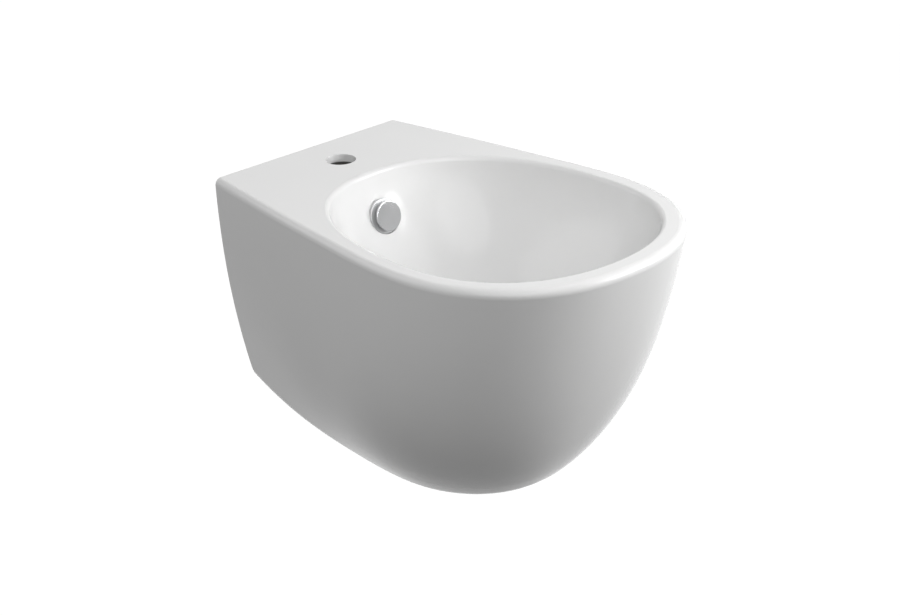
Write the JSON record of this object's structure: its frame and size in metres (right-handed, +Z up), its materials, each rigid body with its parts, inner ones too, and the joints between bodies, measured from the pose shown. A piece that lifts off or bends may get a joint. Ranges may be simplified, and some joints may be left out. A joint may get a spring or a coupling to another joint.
{
  "type": "wall-hung bidet",
  "caption": "Wall-hung bidet in white china with a flat tap deck, egg-shaped bowl, overflow cover, click waste, U-bend trap and wall fixings.",
  "frame": {"origin": "on the wall face, halfway between the two wall fixings", "axes": "+Z up, +Y into the wall, +X to the right seen from the front"},
  "size_m": [0.36, 0.5624, 0.3],
  "materials": {
    "white_china": "gloss",
    "polished_chrome": "polished",
    "satin_chrome": "satin",
    "black_rubber": "matt",
    "grey_rubber": "matt",
    "white_plastic": "matt",
    "grey_plastic": "matt",
    "trap_plastic": "satin",
    "raw_brass": "turned",
    "spring_steel": "bright",
    "zinc_steel": "satin"
  },
  "bodies": {
    "body": {"ceramic_body": "white_china", "overflow_cover": "polished_chrome", "overflow_collar": "satin_chrome", "overflow_seal": "black_rubber", "waste_body": "polished_chrome", "waste_upper_seal": "grey_rubber", "waste_lower_seal": "grey_rubber", "waste_slip_ring": "white_plastic", "waste_backnut": "raw_brass", "cartridge": "grey_plastic", "cartridge_spring": "spring_steel", "trap_inlet_nut": "white_plastic", "trap_inlet_washer": "black_rubber", "trap_bend": "trap_plastic", "trap_union_nut": "white_plastic", "trap_union_washer": "black_rubber", "wall_tube": "trap_plastic", "wall_studs": "zinc_steel", "fixing_bushes": "grey_plastic", "fixing_washers": "zinc_steel", "fixing_nuts": "zinc_steel"},
    "plug": {"plug_cap": "polished_chrome", "plug_gasket": "black_rubber", "plug_stem": "raw_brass"}
  },
  "joints": [
    {"name": "plug_slide", "type": "slide", "parent": "body", "child": "plug", "axis": [0, 0, 1], "range_m": [0, 0.009], "deforming": ["cartridge_spring"]}
  ]
}
